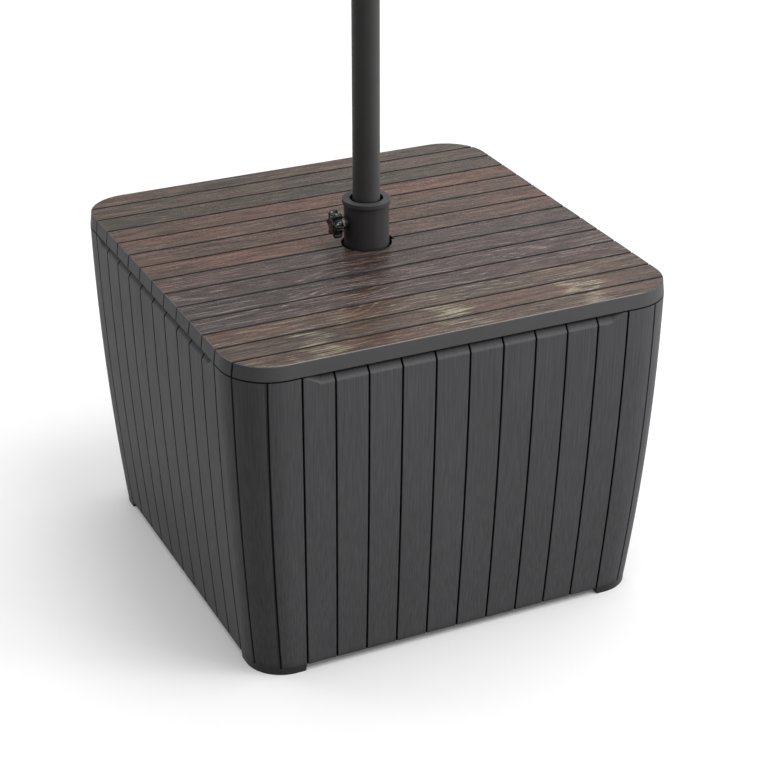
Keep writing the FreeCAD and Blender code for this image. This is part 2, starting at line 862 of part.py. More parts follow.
def main():
    os.makedirs("parts", exist_ok=True)
    panel = make_panel()
    foot = make_foot()
    for quarters, side in enumerate(("front", "right", "rear", "left")):
        export("panel_" + side, turn_shape(panel, quarters))
    for quarters, corner in enumerate(("front_right", "rear_right", "rear_left", "front_left")):
        export("foot_" + corner, turn_shape(foot, quarters))
    export("base_tray", make_tray())
    export("lid_deck", make_deck())
    export("lid_frame", make_lid_frame())
    export("socket_flange", make_flange())
    export("socket_tube", make_tube())
    export("seat_cup", make_cup())
    export("collar_ring", make_ring())
    export("clamp_boss", make_boss())
    export("clamp_nut", make_clamp_nut())
    export("clamp_stud", make_stud())
    export("star_knob", make_knob())
    export("knob_cap", make_cap())
    export("pole", make_pole())
    export("pole_plug", make_plug())
    export("seam_screws", make_seam_screws())
    export("tray_screws", make_tray_screws())
    export("foot_screws", make_foot_screws())
    export("deck_screws", make_deck_screws())
    export("flange_bolts", make_flange_bolts())
    export("flange_washers", make_flange_washers())
    export("flange_nuts", make_flange_nuts())


main()
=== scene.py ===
import math

import bmesh
import bpy
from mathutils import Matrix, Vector


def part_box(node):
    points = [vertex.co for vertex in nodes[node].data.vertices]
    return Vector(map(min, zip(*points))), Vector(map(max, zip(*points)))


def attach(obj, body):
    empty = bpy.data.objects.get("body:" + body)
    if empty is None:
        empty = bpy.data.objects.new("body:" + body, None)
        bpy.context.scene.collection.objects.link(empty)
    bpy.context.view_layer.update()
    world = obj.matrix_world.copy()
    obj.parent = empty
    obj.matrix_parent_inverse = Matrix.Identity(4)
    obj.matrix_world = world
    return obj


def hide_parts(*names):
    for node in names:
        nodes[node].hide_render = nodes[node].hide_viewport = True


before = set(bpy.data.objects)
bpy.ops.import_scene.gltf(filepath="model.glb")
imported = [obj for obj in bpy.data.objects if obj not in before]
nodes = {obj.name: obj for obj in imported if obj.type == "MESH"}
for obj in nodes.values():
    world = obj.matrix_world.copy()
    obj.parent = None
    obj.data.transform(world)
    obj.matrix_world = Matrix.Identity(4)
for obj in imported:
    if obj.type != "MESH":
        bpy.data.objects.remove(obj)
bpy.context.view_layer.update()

scene = bpy.context.scene
mm = 0.001

# Sizes of the lid and its planks, in metres
lid_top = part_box("lid_deck")[1].z
deck_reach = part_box("lid_deck")[1].x
deck_corner_radius = 57.6 * mm
deck_thickness = 6.0 * mm
hole_radius = 32.75 * mm
notch_reach = 36.75 * mm
notch_width = 13.0 * mm
boss_radius = 5.0 * mm
boss_depth = 3.3 * mm
boss_span = 393.0 * mm
boss_overlap = 0.5 * mm
bosses_each_way = 4
grooves_each_way = 6
last_groove = 255.71 * mm
middle_plank_gain = 0.048
planks = 14
groove_width = 3.0 * mm
groove_depth = 2.0 * mm
plank_edge_ease = 0.6 * mm
patch_spacing = 178.0 * mm
patch_place = 12.0 * mm

# Sizes of the walls and their grooves, in metres
wall_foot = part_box("panel_front")[0].z
wall_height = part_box("panel_front")[1].z - wall_foot
wall_top_half = 292.0 * mm
wall_draw_in = 24.0 * mm
wall_bulge = 4.3 * mm
plank_share_of_taper = 0.567
last_straight_groove = 235.0 * mm

# Sizes of the clamp and the fasteners, in metres
clamp_height = 465.5 * mm
knob_back = 37.0 * mm
stud_radius = 4.0 * mm
thread_pitch = 1.25 * mm
seam_turn = math.radians(36.3)
hex_flats = 13.0 * mm
crease_angle = math.radians(32)

# Where the photograph was taken from
camera_place = (-1.0228, -2.2263, 1.4579)
camera_turn = (63.374, 0.0, -25.199)
camera_lens = 96.95
sensor_width = 36.0
floor_reach = 20.0


def give(tree, socket, value):
    """Feeds an input with another node's socket, or sets it to a number or colour."""
    if isinstance(value, bpy.types.NodeSocket):
        tree.links.new(value, socket)
    else:
        socket.default_value = value


def add(tree, kind, inputs=None, **settings):
    """New node with its settings and inputs."""
    node = tree.nodes.new(kind)
    for name, value in settings.items():
        setattr(node, name, value)
    for key, value in (inputs or {}).items():
        give(tree, node.inputs[key], value)
    return node


def calc(tree, operation, first, second=0.0, third=0.0, clamp=False):
    inputs = {0: first, 1: second, 2: third}
    return add(tree, "ShaderNodeMath", inputs, operation=operation, use_clamp=clamp).outputs[0]


def times(tree, first, second):
    return calc(tree, "MULTIPLY", first, second)


def plus(tree, first, second):
    return calc(tree, "ADD", first, second)


def minus(tree, first, second):
    return calc(tree, "SUBTRACT", first, second)


def ratio(tree, first, second):
    return calc(tree, "DIVIDE", first, second)


def vector_calc(tree, operation, first, second):
    node = add(tree, "ShaderNodeVectorMath", {0: first, 1: second}, operation=operation)
    return node.outputs["Value" if operation == "DOT_PRODUCT" else "Vector"]


def vector_of(tree, x, y, z):
    return add(tree, "ShaderNodeCombineXYZ", {0: x, 1: y, 2: z}).outputs[0]


def mixed(tree, share, first, second, blend="MIX"):
    node = add(tree, "ShaderNodeMix", {0: share, 6: first, 7: second}, data_type="RGBA", blend_type=blend)
    return node.outputs[2]


def ranged(tree, value, low, high, to_low=0.0, to_high=1.0):
    inputs = {"Value": value, "From Min": low, "From Max": high, "To Min": to_low, "To Max": to_high}
    return add(tree, "ShaderNodeMapRange", inputs, interpolation_type="SMOOTHSTEP").outputs[0]


def noise(tree, vector, scale, detail=2.0, rough=0.5, distortion=0.0):
    inputs = {"Vector": vector, "Scale": scale, "Detail": detail, "Roughness": rough,
              "Distortion": distortion}
    return add(tree, "ShaderNodeTexNoise", inputs).outputs["Fac"]


def grey(level):
    return level, level, level, 1.0


def ramp(tree, value, stops, kind="LINEAR"):
    """Colour ramp; stops are (place, colour)."""
    node = add(tree, "ShaderNodeValToRGB", {0: value})
    node.color_ramp.interpolation = kind
    elements = node.color_ramp.elements
    while len(elements) < len(stops):
        elements.new(0.5)
    for element, (place, colour) in zip(elements, stops):
        element.position = place
        element.color = (*colour, 1.0)
    return node.outputs[0]


FLOAT = "NodeSocketFloat"
VECTOR = "NodeSocketVector"
MATERIAL = "NodeSocketMaterial"
GEOMETRY = "NodeSocketGeometry"


def new_group(name, inputs, outputs, kind="ShaderNodeTree"):
    """Empty node group with named sockets; inputs are (name, kind, start value)."""
    tree = bpy.data.node_groups.new(name, kind)
    for label, socket_kind, start in inputs:
        socket = tree.interface.new_socket(label, in_out="INPUT", socket_type=socket_kind)
        if start is not None:
            socket.default_value = start
    for label, socket_kind in outputs:
        tree.interface.new_socket(label, in_out="OUTPUT", socket_type=socket_kind)
    return tree, tree.nodes.new("NodeGroupInput").outputs, tree.nodes.new("NodeGroupOutput").inputs


def use_group(tree, group, inputs):
    return add(tree, "ShaderNodeGroup", inputs, node_tree=group).outputs


def make_plank_place():
    """Number of the plank at a distance from the middle of a side, and the share of it from its groove."""
    inputs = [("Across", FLOAT, 0.0), ("Last Groove", FLOAT, 0.25), ("Middle Gain", FLOAT, 0.05)]
    tree, given, result = new_group("plank_place", inputs, [("Plank", FLOAT), ("From Groove", FLOAT)])
    gain = given["Middle Gain"]
    reach = ratio(tree, calc(tree, "ABSOLUTE", given["Across"]), given["Last Groove"])
    full = plus(tree, gain, 1.0)
    bend = times(tree, times(tree, gain, 4.0), reach)
    root = calc(tree, "SQRT", minus(tree, times(tree, full, full), bend))
    share = ratio(tree, minus(tree, full, root), times(tree, gain, 2.0))
    count = times(tree, share, grooves_each_way)
    place = times(tree, count, calc(tree, "SIGN", given["Across"]))
    tree.links.new(calc(tree, "FLOOR", place), result["Plank"])
    away = minus(tree, place, calc(tree, "ROUND", place))
    tree.links.new(calc(tree, "ABSOLUTE", away), result["From Groove"])
    return tree


def make_moulded_grain():
    """Grain that runs along the vector's X: fine pores, longer fibres, thin flowing lines and slow drift."""
    inputs = [("Vector", VECTOR, None), ("Fibre Length", FLOAT, 0.05), ("Fibre Width", FLOAT, 0.001),
              ("Line Spacing", FLOAT, 0.006), ("Line Sway", FLOAT, 0.05), ("Seed", FLOAT, 0.0)]
    outputs = [("Pores", FLOAT), ("Fibres", FLOAT), ("Lines", FLOAT), ("Drift", FLOAT)]
    tree, given, result = new_group("moulded_grain", inputs, outputs)
    seed = given["Seed"]
    shift = vector_of(tree, times(tree, seed, 3.17), times(tree, seed, 7.31), seed)

    def stretched(scale):
        return vector_calc(tree, "ADD", vector_calc(tree, "MULTIPLY", given["Vector"], scale), shift)

    along = ratio(tree, 1.0, given["Fibre Length"])
    across = ratio(tree, 1.0, given["Fibre Width"])
    fibres_at = stretched(vector_of(tree, along, across, across))
    tree.links.new(noise(tree, fibres_at, 0.45, 3.0, 0.6), result["Fibres"])
    pores_at = vector_calc(tree, "MULTIPLY", fibres_at, (2.6, 1.5, 1.5))
    tree.links.new(ranged(tree, noise(tree, pores_at, 1.0, 1.0, 0.5), 0.52, 0.68), result["Pores"])
    sway = minus(tree, noise(tree, stretched((6.0, 16.0, 16.0)), 1.0, 1.0, 0.45), 0.5)
    side = add(tree, "ShaderNodeSeparateXYZ", {0: given["Vector"]}).outputs["Y"]
    path = calc(tree, "MULTIPLY_ADD", sway, given["Line Sway"], side)
    turns = times(tree, ratio(tree, path, given["Line Spacing"]), 2 * math.pi)
    waves = calc(tree, "MULTIPLY_ADD", calc(tree, "SINE", turns), 0.5, 0.5)
    tree.links.new(calc(tree, "POWER", waves, 5.0), result["Lines"])
    tree.links.new(noise(tree, stretched((3.5, 9.0, 9.0)), 1.0, 2.0, 0.5), result["Drift"])
    return tree


def make_handling_haze():
    """Uneven sheen of a handled surface: soft smears and fine specks."""
    inputs = [("Vector", VECTOR, None), ("Smear Size", FLOAT, 0.08), ("Speck Size", FLOAT, 0.0008)]
    tree, given, result = new_group("handling_haze", inputs, [("Smears", FLOAT), ("Specks", FLOAT)])
    smear_scale = ratio(tree, 1.0, given["Smear Size"])
    tree.links.new(noise(tree, given["Vector"], smear_scale, 4.0, 0.6, 0.4), result["Smears"])
    speck_scale = ratio(tree, 1.0, given["Speck Size"])
    tree.links.new(noise(tree, given["Vector"], speck_scale, 1.0, 0.4), result["Specks"])
    return tree


plank_place = make_plank_place()
groove_rows = {"Last Groove": last_groove, "Middle Gain": middle_plank_gain}
moulded_grain = make_moulded_grain()
handling_haze = make_handling_haze()


def new_material(name):
    material = bpy.data.materials.new(name)
    material.use_nodes = True
    tree = material.node_tree
    shader = tree.nodes["Principled BSDF"]
    place = add(tree, "ShaderNodeTexCoord").outputs["Object"]
    return material, tree, shader, place


def eased_bump(tree, shader, height, strength, distance, edge_radius):
    """Surface normal with slightly rounded edges and the relief of height."""
    edge = add(tree, "ShaderNodeBevel", {"Radius": edge_radius}, samples=4).outputs[0]
    inputs = {"Strength": strength, "Distance": distance, "Height": height, "Normal": edge}
    bump = add(tree, "ShaderNodeBump", inputs)
    tree.links.new(bump.outputs[0], shader.inputs["Normal"])


def crevice(tree, reach, open_at=0.85, shut_at=0.45):
    """Mask that is 1 deep in a groove of the piece itself and 0 on its open faces, used to paint shade into
    grooves and gaps.
    """
    shade = add(tree, "ShaderNodeAmbientOcclusion", {"Distance": reach}, samples=6, only_local=True)
    return ranged(tree, shade.outputs["AO"], shut_at, open_at, 1.0, 0.0)


def feed(tree, shader, **sockets):
    for name, value in sockets.items():
        give(tree, shader.inputs[name.replace("_", " ")], value)


def plank_steps(*values):
    """Stops of a stepped ramp that gives each plank a value, counted from the front."""
    return [(i / planks, (value, value, value)) for i, value in enumerate(values)]


def make_deck_finish():
    """Brown wood-look planks: five tones that drift warm and cool along them, fine grain, pale grain lines,
    feathered pale patches, grooves painted near black as shade, and a painted highlight along the front edge."""
    material, tree, shader, place = new_material("deck_planks")
    axes = add(tree, "ShaderNodeSeparateXYZ", {0: place}).outputs
    plank = use_group(tree, plank_place, {"Across": axes["Y"], **groove_rows})
    seed = add(tree, "ShaderNodeTexWhiteNoise", {"W": plank["Plank"]}, noise_dimensions="1D").outputs[0]
    along = calc(tree, "MULTIPLY_ADD", seed, 0.9, axes["X"])
    ground = vector_of(tree, along, axes["Y"], 0.0)
    grain = use_group(tree, moulded_grain, {"Vector": ground, "Fibre Length": 0.024, "Fibre Width": 0.0012,
                                            "Line Spacing": 0.0075, "Line Sway": 0.10,
                                            "Seed": times(tree, seed, 40.0)})
    haze = use_group(tree, handling_haze, {"Vector": place, "Smear Size": 0.12, "Speck Size": 0.0009})
    order = times(tree, plus(tree, plank["Plank"], 7.5), 1 / planks)
    tone = ramp(tree, order, [(0.0, (0.089, 0.051, 0.036)), (3 / planks, (0.063, 0.039, 0.034)),
                              (7 / planks, (0.091, 0.047, 0.033)), (11 / planks, (0.058, 0.043, 0.031)),
                              (12 / planks, (0.070, 0.047, 0.035))], "CONSTANT")
    cool, warm = (0.93, 1.01, 1.03, 1.0), (1.10, 0.97, 0.92, 1.0)
    tint = mixed(tree, ranged(tree, grain["Drift"], 0.35, 0.65), cool, warm)
    tone = mixed(tree, 1.0, tone, tint, "MULTIPLY")
    lift = calc(tree, "MULTIPLY_ADD", grain["Drift"], 0.9, 0.5)
    lift = times(tree, lift, calc(tree, "MULTIPLY_ADD", seed, 0.2, 0.9))
    fibre_lift = calc(tree, "MAXIMUM", calc(tree, "MULTIPLY_ADD", grain["Fibres"], 4.0, -1.05), 0.2)
    base = mixed(tree, 1.0, tone, times(tree, lift, fibre_lift), "MULTIPLY")

    pale = ramp(tree, order, [(0.0, (0.37, 0.33, 0.22)), (3 / planks, (0.27, 0.225, 0.21)),
                              (7 / planks, (0.25, 0.16, 0.115))], "CONSTANT")
    broken = ranged(tree, grain["Fibres"], 0.44, 0.60)
    strokes = times(tree, grain["Lines"], broken)
    line_shares = plank_steps(0.3, 0.15, 0.55, 0.75, 0.75, 0.5, 0.45, 0.5, 0.5, 0.45, 0.4, 0.3, 0.3, 0.35)
    line_share = ramp(tree, order, line_shares, "CONSTANT")
    base = mixed(tree, times(tree, strokes, line_share), base, pale)

    patch_share = ramp(tree, order, plank_steps(0.6, 1.0, 0.1, *[0.0] * 11), "CONSTANT")
    sweep = calc(tree, "MULTIPLY_ADD", minus(tree, 0.5, plank["From Groove"]), 0.05, axes["X"])
    beat = times(tree, minus(tree, sweep, patch_place), 2 * math.pi / patch_spacing)
    crest = minus(tree, calc(tree, "COSINE", beat), 0.45)
    ragged = calc(tree, "MULTIPLY_ADD", grain["Drift"], 0.9, crest)
    feathers = calc(tree, "MAXIMUM", strokes, times(tree, broken, 0.85))
    patch = times(tree, ranged(tree, ragged, 0.50, 0.95), feathers)
    base = mixed(tree, times(tree, patch, patch_share), base, pale)

    base = mixed(tree, times(tree, grain["Pores"], 0.6), base, (0.020, 0.012, 0.009, 1.0))
    # Painted shade: the grooves between the planks are made near black.
    groove = ranged(tree, plank["From Groove"], 0.038, 0.060, 1.0, 0.0)
    base = mixed(tree, groove, base, grey(0.003))
    # Painted highlight: a thin pale line along the deck's front edge.
    front = ranged(tree, axes["Y"], 0.6 * mm - deck_reach, 1.4 * mm - deck_reach, 1.0, 0.0)
    base = mixed(tree, front, base, (0.34, 0.29, 0.24, 1.0))
    sheen = calc(tree, "MULTIPLY_ADD", haze["Smears"], 0.14, 0.19)
    sheen = calc(tree, "MULTIPLY_ADD", grain["Pores"], 0.22, sheen)
    feed(tree, shader, Base_Color=base, Roughness=calc(tree, "MULTIPLY_ADD", groove, 0.5, sheen),
         Specular_IOR_Level=0.47)
    relief = calc(tree, "MULTIPLY_ADD", grain["Pores"], -0.8, plus(tree, grain["Fibres"], strokes))
    eased_bump(tree, shader, relief, 0.5, 0.0007, 0.0006)
    return material


def wall_grooves(tree, axes):
    """Mask for the painted shade in the walls' straight grooves, which draw together towards the floor with
    the bowed taper.
    """
    x, y = calc(tree, "ABSOLUTE", axes["X"]), calc(tree, "ABSOLUTE", axes["Y"])
    drop = ratio(tree, minus(tree, wall_foot + wall_height, axes["Z"]), wall_height)
    bow = calc(tree, "MULTIPLY_ADD", drop, 4 * wall_bulge, wall_draw_in - 4 * wall_bulge)
    drawn = times(tree, times(tree, drop, bow), plank_share_of_taper / wall_top_half)
    across = ratio(tree, calc(tree, "MINIMUM", x, y), minus(tree, 1.0, drawn))
    plank = use_group(tree, plank_place, {"Across": across, **groove_rows})
    line = ranged(tree, plank["From Groove"], 0.022, 0.034, 1.0, 0.0)
    return times(tree, line, calc(tree, "LESS_THAN", across, last_straight_groove))


def make_graphite(name, colour, along, fibre_length, fibre_width, streaks, depth, sheen_low, edge_radius):
    """Graphite resin with moulded grain along Z or X, painted shade in its grooves and recesses, and a
    painted highlight on the rounded ridge.
    """
    material, tree, shader, place = new_material(name)
    axes = add(tree, "ShaderNodeSeparateXYZ", {0: place}).outputs
    order = {"Z": ("Z", "X", "Y"), "X": ("X", "Y", "Z")}[along]
    ground = vector_of(tree, *[axes[a] for a in order])
    grain = use_group(tree, moulded_grain, {"Vector": ground, "Fibre Length": fibre_length,
                                            "Fibre Width": fibre_width, "Seed": 3.0})
    haze = use_group(tree, handling_haze, {"Vector": place, "Smear Size": 0.10, "Speck Size": 0.0007})
    lift = calc(tree, "MULTIPLY_ADD", grain["Fibres"], streaks, 1 - streaks / 2)
    lift = times(tree, lift, calc(tree, "MULTIPLY_ADD", grain["Drift"], 0.2, 0.90))
    facing = add(tree, "ShaderNodeNewGeometry").outputs["Normal"]
    slope = add(tree, "ShaderNodeSeparateXYZ", {0: facing}).outputs["Z"]
    # Painted highlight: the rounded ridge, where the wall starts to face upwards, is made paler.
    ridge = times(tree, ranged(tree, slope, 0.06, 0.22), ranged(tree, slope, 0.34, 0.62, 1.0, 0.0))
    lift = times(tree, lift, calc(tree, "MULTIPLY_ADD", ridge, 0.15, 1.0))
    # Painted shade: darker where the piece is sheltered, as on the recess slope under the rim.
    sheltered = add(tree, "ShaderNodeAmbientOcclusion", {"Distance": 0.022}, samples=6).outputs["AO"]
    lift = times(tree, lift, ranged(tree, sheltered, 0.35, 0.97, 0.28, 1.0))
    base = mixed(tree, 1.0, (*colour, 1.0), lift, "MULTIPLY")
    # Painted shade: the grooves are made near black.
    groove = crevice(tree, 0.004, 0.82, 0.55)
    if along == "Z":
        groove = calc(tree, "MAXIMUM", groove, wall_grooves(tree, axes))
    base = mixed(tree, groove, base, grey(0.004))
    sheen = calc(tree, "MULTIPLY_ADD", haze["Smears"], 0.12, sheen_low)
    sheen = calc(tree, "MULTIPLY_ADD", grain["Pores"], 0.10, sheen)
    feed(tree, shader, Base_Color=base, Roughness=calc(tree, "MULTIPLY_ADD", groove, 0.3, sheen),
         Specular_IOR_Level=0.06)
    eased_bump(tree, shader, grain["Fibres"], depth, 0.0004, edge_radius)
    return material


def make_coat(name, colour, shine, sheen, speck_depth, edge_radius, shade_from=0.52):
    """Powder coat or plain moulded plastic: fine orange-peel specks, uneven sheen and shade in tight gaps."""
    material, tree, shader, place = new_material(name)
    haze = use_group(tree, handling_haze, {"Vector": place, "Smear Size": 0.05, "Speck Size": 0.0009})
    lift = calc(tree, "MULTIPLY_ADD", haze["Smears"], 0.35, 0.82)
    base = mixed(tree, 1.0, (*colour, 1.0), lift, "MULTIPLY")
    # Painted shade: near black where the piece is sheltered within a few millimetres, as at the tube below
    # the deck.
    sheltered = add(tree, "ShaderNodeAmbientOcclusion", {"Distance": 0.006}, samples=6).outputs["AO"]
    base = mixed(tree, ranged(tree, sheltered, 0.22, shade_from, 0.9, 0.0), base, grey(0.003))
    # Painted shade: darker deep in the piece's own tight grooves.
    crevice_shade = crevice(tree, 0.003, 0.9, 0.4)
    base = mixed(tree, times(tree, crevice_shade, 0.7), base, grey(0.004))
    feed(tree, shader, Base_Color=base, Specular_IOR_Level=shine,
         Roughness=calc(tree, "MULTIPLY_ADD", haze["Smears"], sheen * 0.6, sheen * 0.7))
    eased_bump(tree, shader, haze["Specks"], speck_depth, 0.0003, edge_radius)
    return material


def make_zinc_steel():
    material, tree, shader, place = new_material("zinc_steel")
    haze = use_group(tree, handling_haze, {"Vector": place, "Smear Size": 0.006, "Speck Size": 0.0004})
    base = ramp(tree, haze["Smears"], [(0.3, (0.42, 0.42, 0.43)), (0.7, (0.66, 0.66, 0.65))])
    feed(tree, shader, Base_Color=base, Metallic=1.0,
         Roughness=calc(tree, "MULTIPLY_ADD", haze["Smears"], 0.25, 0.15))
    eased_bump(tree, shader, haze["Specks"], 0.15, 0.0001, 0.0004)
    return material


# Finish of each piece, by the start of its name. A coat's numbers are its shine, sheen, depth of specks, edge
# radius in metres and, where gaps are shaded further out, the openness at which that shade starts.
finishes = {
    "lid_deck": make_deck_finish(),
    "panel": make_graphite("wall_resin", (0.128, 0.128, 0.133), "Z", fibre_length=0.050, fibre_width=0.0007,
                           streaks=0.9, depth=0.40, sheen_low=0.46, edge_radius=0.0012),
    "lid_frame": make_graphite("rim_resin", (0.110, 0.110, 0.113), "X", fibre_length=0.010,
                               fibre_width=0.0050, streaks=0.12, depth=0.04, sheen_low=0.45,
                               edge_radius=0.0008),
    "foot": make_coat("foot_resin", (0.030, 0.030, 0.031), 0.25, 0.45, 0.2, 0.0008),
    "base_tray": make_coat("tray_resin", (0.034, 0.034, 0.036), 0.25, 0.45, 0.2, 0.0008),
    "socket": make_coat("tube_coat", (0.048, 0.046, 0.046), 0.16, 0.42, 0.25, 0.0006, 0.95),
    "clamp_boss": make_coat("boss_coat", (0.020, 0.020, 0.020), 0.25, 0.34, 0.25, 0.0006),
    "pole": make_coat("pole_coat", (0.064, 0.063, 0.062), 0.08, 0.42, 0.25, 0.0006, 0.95),
    "collar_ring": make_coat("ring_plastic", (0.054, 0.054, 0.055), 0.18, 0.40, 0.2, 0.0005),
    "star_knob": make_coat("knob_plastic", (0.003, 0.003, 0.004), 0.50, 0.05, 0.03, 0.0010),
    "knob_cap": make_coat("cap_plastic", (0.010, 0.007, 0.007), 0.80, 0.05, 0.02, 0.0005),
    "seat_cup": make_coat("seat_plastic", (0.020, 0.020, 0.020), 0.30, 0.45, 0.2, 0.0005),
    "pole_plug": make_coat("plug_plastic", (0.020, 0.020, 0.020), 0.30, 0.45, 0.2, 0.0005),
}
zinc_steel = make_zinc_steel()


def finish_of(name):
    fits = [key for key in finishes if name.startswith(key)]
    return finishes[max(fits, key=len)] if fits else zinc_steel


for name, node in nodes.items():
    node.data.materials.clear()
    node.data.materials.append(finish_of(name))


def new_shape(name, sizes):
    """Empty geometry tree; its named inputs are the spots, the sizes and the finish."""
    inputs = [("Spots", GEOMETRY, None)] + [(size, FLOAT, None) for size in sizes]
    inputs.append(("Finish", MATERIAL, None))
    tree, given, result = new_group(name, inputs, [("Shape", GEOMETRY)], "GeometryNodeTree")
    return tree, given, result["Shape"]


def end_shape(tree, shape, given, result):
    """Smooths all but the sharp edges, makes instances real and sets the finish."""
    real = add(tree, "GeometryNodeRealizeInstances", {0: shape}).outputs[0]
    inputs = {"Geometry": real, "Shade Smooth": True}
    smooth = add(tree, "GeometryNodeSetShadeSmooth", inputs, domain="FACE").outputs[0]
    bend = add(tree, "GeometryNodeInputMeshEdgeAngle").outputs[0]
    soft = add(tree, "FunctionNodeCompare", {0: bend, 1: crease_angle}, operation="LESS_THAN").outputs[0]
    inputs = {"Geometry": smooth, "Shade Smooth": soft}
    creased = add(tree, "GeometryNodeSetShadeSmooth", inputs, domain="EDGE").outputs[0]
    inputs = {"Geometry": creased, "Material": given["Finish"]}
    tree.links.new(add(tree, "GeometryNodeSetMaterial", inputs).outputs[0], result)


def looked_up(tree, index, values):
    """Value of a list at an index; the values are numbers or sockets."""
    node = add(tree, "GeometryNodeIndexSwitch", data_type="FLOAT")
    while len(node.index_switch_items) < len(values):
        node.index_switch_items.new()
    tree.links.new(index, node.inputs[0])
    for i, value in enumerate(values):
        give(tree, node.inputs[i + 1], value)
    return node.outputs[0]


def ring_grid(tree, rings, segments):
    """Grid to be bent round an axis: the mesh, each vertex's ring number and its angle."""
    inputs = {"Size X": 1.0, "Size Y": 1.0, "Vertices X": segments + 1, "Vertices Y": rings}
    grid = add(tree, "GeometryNodeMeshGrid", inputs).outputs[0]
    index = add(tree, "GeometryNodeInputIndex").outputs[0]
    ring = calc(tree, "FLOORED_MODULO", index, rings)
    step = calc(tree, "FLOOR", ratio(tree, plus(tree, index, 0.5), rings))
    return grid, ring, times(tree, step, 2 * math.pi / segments)


def merged(tree, shape, distance):
    return add(tree, "GeometryNodeMergeByDistance", {"Geometry": shape, "Distance": distance}).outputs[0]


def bent_round(tree, grid, angle, radius, height):
    """Grid laid round the Z axis and closed where its ends meet."""
    x = times(tree, radius, calc(tree, "COSINE", angle))
    y = times(tree, radius, calc(tree, "SINE", angle))
    inputs = {"Geometry": grid, "Position": vector_of(tree, x, y, height)}
    bent = add(tree, "GeometryNodeSetPosition", inputs).outputs[0]
    return merged(tree, bent, 2e-6)


def turned(tree, profile, segments):
    """Turned solid; the profile's (radius, height) points run outside from its lower to its upper end."""
    grid, ring, angle = ring_grid(tree, len(profile), segments)
    radius = looked_up(tree, ring, [r for r, z in profile])
    height = looked_up(tree, ring, [z for r, z in profile])
    return bent_round(tree, grid, angle, radius, height)


def carved(tree, operation, *shapes):
    node = add(tree, "GeometryNodeMeshBoolean", operation=operation, solver="EXACT")
    first, others = (shapes[0], shapes[1:]) if operation == "DIFFERENCE" else (None, shapes)
    if first:
        tree.links.new(first, node.inputs["Mesh 1"])
    for shape in others:
        tree.links.new(shape, node.inputs["Mesh 2"])
    return node.outputs[0]


def joined(tree, *shapes):
    node = add(tree, "GeometryNodeJoinGeometry")
    for shape in shapes:
        tree.links.new(shape, node.inputs[0])
    return node.outputs[0]


def block(tree, size, centre):
    cube = add(tree, "GeometryNodeMeshCube", {"Size": size}).outputs[0]
    return add(tree, "GeometryNodeTransform", {"Geometry": cube, "Translation": centre}).outputs[0]


def at_spots(tree, given, shape):
    """Copies of a shape at the spots, each with its Z axis along the spot's aim."""
    aim = add(tree, "GeometryNodeInputNamedAttribute", {"Name": "aim"}, data_type="FLOAT_VECTOR").outputs[0]
    turn = add(tree, "FunctionNodeAlignRotationToVector", {"Vector": aim}, axis="Z").outputs[0]
    inputs = {"Points": given["Spots"], "Instance": shape, "Rotation": turn}
    return add(tree, "GeometryNodeInstanceOnPoints", inputs).outputs[0]


def negative(tree, value):
    return times(tree, value, -1.0)


def make_pan_screw():
    """Pan-head screw with a cross recess; its origin is the middle of the head's top."""
    sizes = ["Head Radius", "Head Height", "Shank Radius", "Shank Length", "Cross Width", "Cross Depth"]
    tree, given, result = new_shape("pan_screw", sizes)
    radius = given["Head Radius"]
    shank = given["Shank Radius"]
    seat = negative(tree, given["Head Height"])
    tip = minus(tree, seat, given["Shank Length"])

    def ring(radius_share, height_share):
        return times(tree, radius, radius_share), times(tree, seat, height_share)

    profile = [(0.0, tip), (times(tree, shank, 0.7), tip),
               (shank, plus(tree, tip, times(tree, shank, 0.4))), (shank, seat),
               ring(1.0, 1.0), ring(1.0, 0.55), ring(0.97, 0.32), ring(0.88, 0.14), ring(0.72, 0.04),
               (0.0, 0.0)]
    body = turned(tree, profile, 20)
    width = given["Cross Width"]
    length = times(tree, radius, 1.1)
    deep = times(tree, given["Cross Depth"], 2.0)
    slots = [block(tree, vector_of(tree, length, width, deep), (0, 0, 0)),
             block(tree, vector_of(tree, width, length, deep), (0, 0, 0))]
    end_shape(tree, at_spots(tree, given, carved(tree, "DIFFERENCE", body, *slots)), given, result)
    return tree


def hex_block(tree, flats, low, high):
    """Hexagonal block with the turned chamfers of a bolt head or nut."""
    corner = times(tree, flats, 1 / math.sqrt(3))
    face = times(tree, flats, 0.475)
    ease = times(tree, flats, 0.055)
    prism = turned(tree, [(0.0, low), (corner, low), (corner, high), (0.0, high)], 6)
    limit = turned(tree, [(0.0, low), (face, low), (corner, plus(tree, low, ease)),
                          (corner, minus(tree, high, ease)), (face, high), (0.0, high)], 36)
    wide = add(tree, "GeometryNodeTransform", {"Geometry": limit, "Scale": (1.004, 1.004, 1.0)}).outputs[0]
    return carved(tree, "INTERSECT", prism, wide)


def make_hex_bolt():
    """Hexagon bolt; its origin is the middle of the head's top."""
    tree, given, result = new_shape("hex_bolt", ["Flats", "Head Height", "Shank Radius", "Shank Length"])
    seat = negative(tree, given["Head Height"])
    tip = minus(tree, seat, given["Shank Length"])
    shank = given["Shank Radius"]
    ease = times(tree, shank, 0.25)
    narrow = minus(tree, shank, ease)
    profile = [(0.0, tip), (narrow, tip), (shank, plus(tree, tip, ease)), (shank, seat), (0.0, seat)]
    head = hex_block(tree, given["Flats"], seat, 0.0)
    end_shape(tree, at_spots(tree, given, joined(tree, head, turned(tree, profile, 24))), given, result)
    return tree


